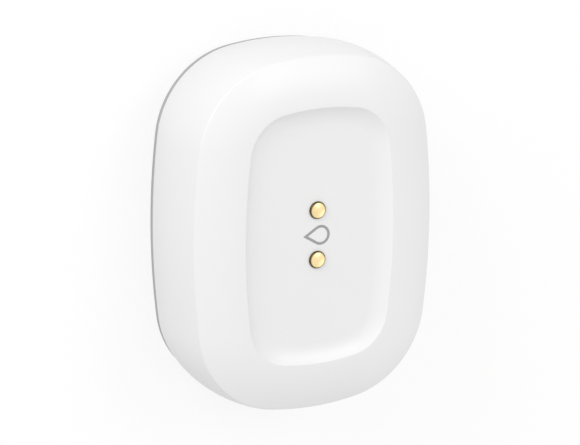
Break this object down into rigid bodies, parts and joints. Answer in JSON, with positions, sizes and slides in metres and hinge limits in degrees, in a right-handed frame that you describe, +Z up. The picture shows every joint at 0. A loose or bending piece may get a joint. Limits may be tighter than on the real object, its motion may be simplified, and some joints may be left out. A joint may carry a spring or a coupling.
{
  "type": "water leak sensor",
  "caption": "Pebble-shaped battery water leak sensor with a drip dish on top, gilt water contacts above and below, and a lift-off upper housing.",
  "frame": {"origin": "on the floor, under the middle of the housing", "axes": "+Z up, out of the drip dish; +Y along the housing's length; +X across it, towards the cell"},
  "size_m": [0.0386, 0.052, 0.019],
  "materials": {
    "housing_white": "satin moulded white",
    "seal_grey": "soft matt grey",
    "gilt": "polished gold plate",
    "ring_black": "soft matt black",
    "spring_steel": "bright nickel plate",
    "board_green": "satin solder mask",
    "cradle_black": "fine matt moulded",
    "cell_steel": "bright drawn steel",
    "cell_sleeve": "shrunk film",
    "cell_insulator": "matt",
    "can_steel": "tinned sheet",
    "chip_black": "moulded resin",
    "ceramic_pale": "fired ceramic",
    "capacitor_ochre": "moulded resin",
    "led_clear": "clear resin",
    "button_black": "moulded"
  },
  "bodies": {
    "base": {"battery_cradle": "cradle_black", "battery_spring": "spring_steel", "board_screws": "spring_steel", "chip_antenna": "ceramic_pale", "circuit_board": "board_green", "contact_arm_1": "spring_steel", "contact_arm_2": "spring_steel", "crystal": "can_steel", "floor_probe_1": "gilt", "floor_probe_2": "gilt", "floor_probe_3": "gilt", "floor_probe_4": "gilt", "floor_probe_clip_1": "spring_steel", "floor_probe_clip_2": "spring_steel", "floor_probe_clip_3": "spring_steel", "floor_probe_clip_4": "spring_steel", "floor_probe_seal_1": "ring_black", "floor_probe_seal_2": "ring_black", "floor_probe_seal_3": "ring_black", "floor_probe_seal_4": "ring_black", "housing_seal": "seal_grey", "lower_housing": "housing_white", "minus_contact": "spring_steel", "plus_contact": "spring_steel", "probe_finger_1": "spring_steel", "probe_finger_2": "spring_steel", "probe_finger_3": "spring_steel", "probe_finger_4": "spring_steel", "radio_chip": "chip_black", "sense_chip": "chip_black", "shield_can": "can_steel", "status_led": "led_clear", "supply_capacitor": "capacitor_ochre", "switch_body": "chip_black", "switch_cover": "can_steel", "temperature_sensor": "chip_black", "voltage_regulator": "chip_black"},
    "upper": {"drip_contact_1": "gilt", "drip_contact_2": "gilt", "drip_contact_clip_1": "spring_steel", "drip_contact_clip_2": "spring_steel", "drip_contact_seal_1": "ring_black", "drip_contact_seal_2": "ring_black", "upper_housing": "housing_white"},
    "cell": {"cell_can": "cell_steel", "cell_cap": "cell_steel", "cell_insulator": "cell_insulator", "cell_sleeve": "cell_sleeve"},
    "button": {"connect_button": "button_black"}
  },
  "joints": [
    {"name": "housing_lift", "type": "slide", "parent": "base", "child": "upper", "axis": [0, 0, 1], "range_m": [0, 0.036]},
    {"name": "cell_lift", "type": "slide", "parent": "base", "child": "cell", "axis": [0, 0, 1], "range_m": [0, 0.0162]},
    {"name": "button_press", "type": "slide", "parent": "base", "child": "button", "axis": [0, 0, -1], "range_m": [0, 0.00025], "stiffness_N_per_m": 4000}
  ],
  "couplings": [
    {"joint": "cell_lift", "follows": "housing_lift", "ratio": 0.45}
  ]
}
